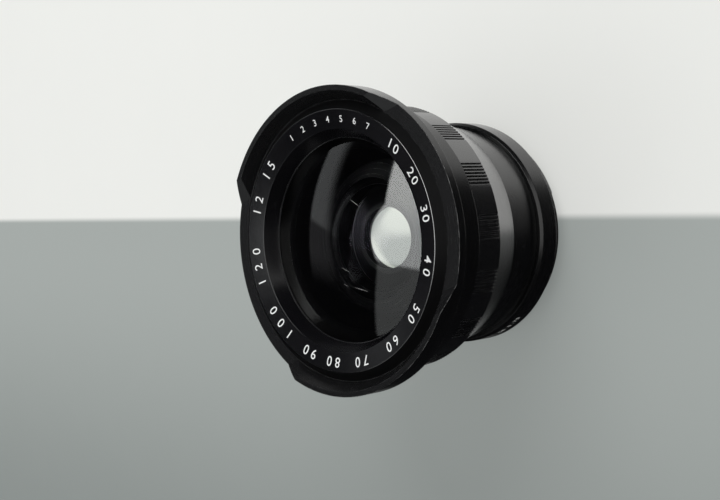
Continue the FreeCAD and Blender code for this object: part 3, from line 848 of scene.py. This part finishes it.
around = {
    "forward": (-0.5328, 0.47763, -0.69857), "tableUp": (0.53674, 0.82893, 0.1574),
    "side": (0.65423, -0.29108, -0.69803), "soft": 0.02, "ambient": 0.6,
    "tableEdge": 0.235, "edgeThroughGlass": 0.264, "edgeSoftness": 0.012,
    "backdrop": (1.0, 1.0, 0.98, 1), "table": (0.3, 0.31, 0.305, 1),
    "backdropThroughGlass": (0.6, 0.61, 0.575, 1), "tableThroughGlass": (0.29, 0.305, 0.295, 1),
    "tableShaded": (0.012, 0.013, 0.013, 1), "nearFrom": (-0.25, -0.02), "nearTurn": (1.2, 0.65),
    "cameraSide": (0.012, 0.012, 0.014, 1), "turnsBright": (0.72, 0.89), "turnsMore": 0.2, "turnsUp": 0.5,
    "upFrom": 0.24,
    "room": (1.3, 1.3, 1.28, 1), "roomFrom": -0.5, "roomSoft": 0.1, "roomUp": (0.02, 0.8),
    "roomTopSoft": 0.06, "roomSide": 0.4,
    "leftSide": (-0.62, -0.45), "screen": (0.58, 0.6, 0.61, 1), "screenFloor": (0.17, 0.17, 0.18, 1),
    "screenFrom": (0.035, 0.29), "screenBefore": 0.04, "screenAfter": 0.1, "screenTo": (0.285, 0.15),
    "screenBase": -0.025, "screenFoot": (-0.36, -0.16),
    "windowLean": (0.49, 0.46), "windowBay": (0.38, 2.2, 0.11), "windowFade": (0.15, 0.4),
    "window": (3.7, 3.8, 3.8, 1), "windowTop": (5.4, 5.5, 5.4, 1), "windowFloor": (0.6, 0.62, 0.62, 1),
    "windowBase": -0.09,
}


def step(tree, value, edge, softness):
    return ramp(tree, value, edge - softness, edge + softness)


def inverse(tree, share):
    return mathNode(tree, "SUBTRACT", 1.0, share)


def both(tree, first, second):
    return mathNode(tree, "MULTIPLY", first, second)


def surroundings(tree, direction):
    path = tree.nodes.new("ShaderNodeLightPath")
    throughGlass = path.outputs["Is Transmission Ray"]
    ahead = dotProduct(tree, direction, around["forward"])
    above = dotProduct(tree, direction, around["tableUp"])
    beside = dotProduct(tree, direction, around["side"])
    soft = around["soft"]

    # Backdrop over the table, for directions that lead away from the camera
    edge = mathNode(tree, "MULTIPLY_ADD", throughGlass, around["edgeThroughGlass"] - around["tableEdge"],
                    around["tableEdge"])
    overEdge = mathNode(tree, "MULTIPLY_ADD", ahead, edge, above)
    # Painted shade: close to the lens the table is near black, standing in for the lens's shadow on it, and
    # it turns grey farther off
    slope, middle = around["nearTurn"]
    farTable = mathNode(tree, "MULTIPLY_ADD", mathNode(tree, "SUBTRACT", ahead, middle), slope, overEdge)
    far = ramp(tree, farTable, *around["nearFrom"])
    table = blendColours(tree, far, around["tableShaded"], around["table"])
    table = blendColours(tree, throughGlass, table, around["tableThroughGlass"])
    backdrop = blendColours(tree, throughGlass, around["backdrop"], around["backdropThroughGlass"])
    behind = blendColours(tree, step(tree, overEdge, 0.0, around["edgeSoftness"]), table, backdrop)
    away = mathNode(tree, "MULTIPLY_ADD", beside, around["turnsMore"], ahead)
    lifted = mathNode(tree, "MAXIMUM", above, around["upFrom"])
    away = mathNode(tree, "MULTIPLY_ADD", lifted, around["turnsUp"], away)
    seen = blendColours(tree, ramp(tree, away, *around["turnsBright"]), around["cameraSide"], behind)

    # Bright room behind the camera
    low, high = around["roomUp"]
    room = both(tree, inverse(tree, step(tree, ahead, around["roomFrom"], around["roomSoft"])),
                inverse(tree, step(tree, beside, around["roomSide"], soft)))
    room = both(tree, room, both(tree, step(tree, above, low, soft),
                                 inverse(tree, step(tree, above, high, around["roomTopSoft"]))))
    seen = blendColours(tree, room, seen, around["room"])

    # Pale screen on the left
    onLeft = inverse(tree, ramp(tree, beside, *around["leftSide"]))
    first, firstLean = around["screenFrom"]
    last, lastLean = around["screenTo"]
    start = mathNode(tree, "MULTIPLY_ADD", above, -firstLean, ahead)
    end = mathNode(tree, "MULTIPLY_ADD", above, -lastLean, ahead)
    started = ramp(tree, start, first - around["screenBefore"], first + around["screenAfter"])
    screenShare = both(tree, started, inverse(tree, step(tree, end, last, soft)))
    screenLow = blendColours(tree, ramp(tree, above, *around["screenFoot"]), around["cameraSide"],
                             around["screenFloor"])
    screen = blendColours(tree, step(tree, above, around["screenBase"], soft), screenLow, around["screen"])
    seen = blendColours(tree, both(tree, screenShare, onLeft), seen, screen)

    # Window on the left behind the camera, with a dull lower part. Its bowed edge bends round the exit.
    lean, bow = around["windowLean"]
    depth, bend, middle = around["windowBay"]
    bowed = mathNode(tree, "MULTIPLY_ADD", mathNode(tree, "MULTIPLY", above, above), -bow, lean)
    fromMiddle = mathNode(tree, "SUBTRACT", above, middle)
    bay = mathNode(tree, "MULTIPLY_ADD", mathNode(tree, "MULTIPLY", fromMiddle, fromMiddle), bend, depth)
    leftEdge = mathNode(tree, "MINIMUM", bowed, bay)
    slant = mathNode(tree, "SUBTRACT", ahead, mathNode(tree, "MULTIPLY", beside, leftEdge))
    upper = ramp(tree, above, *around["windowFade"])
    pane = blendColours(tree, upper, around["window"], around["windowTop"])
    window = blendColours(tree, step(tree, above, around["windowBase"], soft), around["windowFloor"], pane)
    windowShare = both(tree, inverse(tree, step(tree, slant, 0.0, soft)), onLeft)
    return blendColours(tree, windowShare, seen, window)


def mirrorOrGlass(tree):
    path = tree.nodes.new("ShaderNodeLightPath")
    return mathNode(tree, "MAXIMUM", path.outputs["Is Glossy Ray"], path.outputs["Is Transmission Ray"])


world = bpy.data.worlds.new("studio")
scene.world = world
world.use_nodes = True
world.cycles.sampling_method = "NONE"
tree = world.node_tree
background = tree.nodes["Background"]
place = tree.nodes.new("ShaderNodeTexCoord")
seen = surroundings(tree, place.outputs["Generated"])
light = blendColours(tree, mirrorOrGlass(tree), grey(around["ambient"]), seen)
tree.links.new(light, background.inputs["Color"])
print("surroundings made")


# Plain floor. Its two tones meet on a line, as backdrop and table do.

plainFloor = {
    "size": 6, "cells": 8, "drop": 0.02, "rough": 0.9, "shine": 0.1, "glow": 0.45,
    "bright": (0.85, 0.86, 0.83, 1), "grey": (0.38, 0.41, 0.395, 1), "near": (0.26, 0.285, 0.275, 1),
    "line": (0.3822, 0.9663, -0.0416), "split": (0.0028, 0.0056), "fade": (-0.14, -0.01),
    "mottleScale": 35.0, "mottle": 0.05, "mottleGrey": 0.5,
}
bpy.ops.mesh.primitive_grid_add(x_subdivisions=plainFloor["cells"], y_subdivisions=plainFloor["cells"],
                                size=plainFloor["size"], location=(0, 0, 0))
floor = bpy.context.active_object
floor.name = "floor"
floor.data.transform(Matrix.Translation((0, 0, -plainFloor["drop"] * mm)))
floorPaint, tree, shader = startMaterial("floor_paint")
position = tree.nodes.new("ShaderNodeNewGeometry").outputs["Position"]
rise = dotProduct(tree, position, plainFloor["line"])
paint = blendColours(tree, ramp(tree, rise, *plainFloor["fade"]), plainFloor["near"], plainFloor["grey"])
paint = blendColours(tree, ramp(tree, rise, *plainFloor["split"]), paint, plainFloor["bright"])
mottle = noise(tree, position, plainFloor["mottleScale"], "mottle")
mottle = mathNode(tree, "MULTIPLY", mottle, plainFloor["mottle"])
paint = blendColours(tree, mottle, paint, grey(plainFloor["mottleGrey"]))
tree.links.new(paint, shader.inputs["Base Color"])
shader.inputs["Roughness"].default_value = plainFloor["rough"]
shader.inputs["Specular IOR Level"].default_value = plainFloor["shine"]
glow = addNode(tree, "ShaderNodeEmission", Color=paint)
path = tree.nodes.new("ShaderNodeLightPath")
share = mathNode(tree, "MULTIPLY", path.outputs["Is Camera Ray"], plainFloor["glow"])
mixed = addNode(tree, "ShaderNodeMixShader", Fac=share)
tree.links.new(shader.outputs[0], mixed.inputs[1])
tree.links.new(glow.outputs[0], mixed.inputs[2])
tree.links.new(mixed.outputs[0], tree.nodes["Material Output"].inputs["Surface"])
floor.data.materials.append(floorPaint)
floor.visible_glossy = False
floor.visible_transmission = False
print("floor made")


# Soft lights in metres and watts. Mirror and glass rays don't see them.

lights = {
    "key": {"direction": (0.45, 0.75, 0.75), "distance": 0.9, "size": 0.7, "power": 4.2},
    "fill": {"direction": (-0.8, -0.1, 0.9), "distance": 1.0, "size": 0.9, "power": 1.6},
}
for lightName, look in lights.items():
    aim = Vector(look["direction"]).normalized()
    bpy.ops.object.light_add(type="AREA", location=aim * look["distance"])
    lamp = bpy.context.active_object
    lamp.name = lightName
    lamp.data.shape = "DISK"
    lamp.data.size = look["size"]
    lamp.data.energy = look["power"]
    lamp.rotation_euler = aim.to_track_quat("Z", "Y").to_euler()
    lamp.visible_glossy = False
    lamp.visible_transmission = False
print("lights placed")
